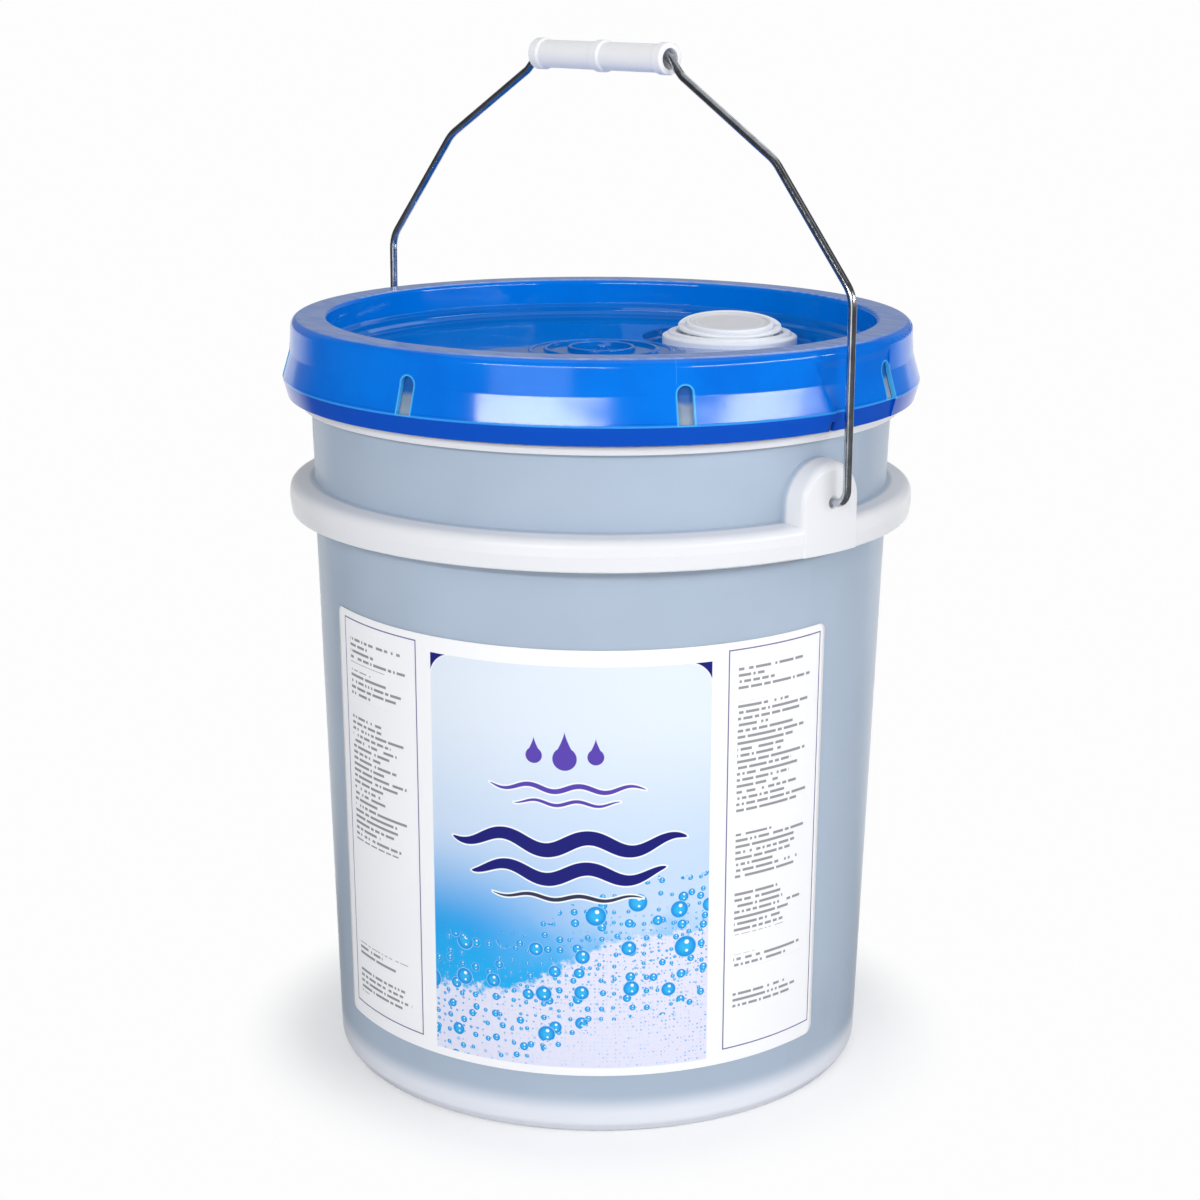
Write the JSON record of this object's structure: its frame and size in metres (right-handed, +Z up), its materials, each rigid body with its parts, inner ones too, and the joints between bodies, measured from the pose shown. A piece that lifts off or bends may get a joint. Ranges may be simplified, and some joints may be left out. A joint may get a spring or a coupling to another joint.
{
  "type": "laundry detergent pail",
  "caption": "Round plastic pail with a press-on lid, a pull-up pouring spout, a wire bail with a moulded grip and a wrapped label, holding liquid detergent.",
  "frame": {"origin": "middle of the foot ring on the floor", "axes": "+Z up along the pail's axis, +X through the hinge line of the bail, the label's middle 51 degrees from +X towards -Y"},
  "size_m": [0.333, 0.3176, 0.5131],
  "materials": {
    "milky_plastic": "natural polyethylene, semi-gloss",
    "blue_plastic": "gloss",
    "soft_seal": "soft",
    "white_plastic": "satin",
    "white_film": "thin, flexible",
    "zinc_wire": "drawn, zinc plated",
    "printed_sheet": "coated",
    "blue_liquid": "liquid"
  },
  "bodies": {
    "pail_body": {"pail": "milky_plastic", "label": "printed_sheet", "detergent": "blue_liquid"},
    "lid": {"lid": "blue_plastic", "lid_gasket": "soft_seal", "spout_flange": "white_plastic", "spout_bellows": "white_film"},
    "neck": {"spout_neck": "white_plastic"},
    "liner": {"cap_liner": "soft_seal"},
    "cap": {"spout_cap": "white_plastic"},
    "front_ring": {"pull_ring_front": "white_plastic"},
    "rear_ring": {"pull_ring_rear": "white_plastic"},
    "bail": {"bail_wire": "zinc_wire"},
    "grip": {"grip": "white_plastic"}
  },
  "joints": [
    {"name": "bail_swing", "type": "hinge", "parent": "pail_body", "child": "bail", "pos_m": [0, 0, 0.308], "axis": [1, 0, 0], "range_deg": [-127, 127]},
    {"name": "grip_spin", "type": "hinge", "parent": "bail", "child": "grip", "pos_m": [0, 0, 0.5054], "axis": [1, 0, 0], "continuous": true},
    {"name": "lid_lift", "type": "slide", "parent": "pail_body", "child": "lid", "axis": [0, 0, 1], "range_m": [0, 0.03]},
    {"name": "spout_pull", "type": "slide", "parent": "lid", "child": "neck", "axis": [0, 0, 1], "range_m": [0, 0.035], "deforming": ["spout_bellows"]},
    {"name": "cap_lift", "type": "slide", "parent": "neck", "child": "liner", "axis": [0.0569, -0.054, 0.9969], "range_m": [0, 0.03]},
    {"name": "cap_turn", "type": "hinge", "parent": "liner", "child": "cap", "pos_m": [0.011, 0.08136, 0.3636], "axis": [0.0569, -0.054, 0.9969], "continuous": true},
    {"name": "front_ring_lift", "type": "hinge", "parent": "cap", "child": "front_ring", "pos_m": [0.01438, 0.07816, 0.36664], "axis": [-0.6884, -0.7254, 0], "range_deg": [0, 90]},
    {"name": "rear_ring_lift", "type": "hinge", "parent": "cap", "child": "rear_ring", "pos_m": [0.00801, 0.0842, 0.36733], "axis": [0.6884, 0.7254, 0], "range_deg": [-5, 85]}
  ]
}
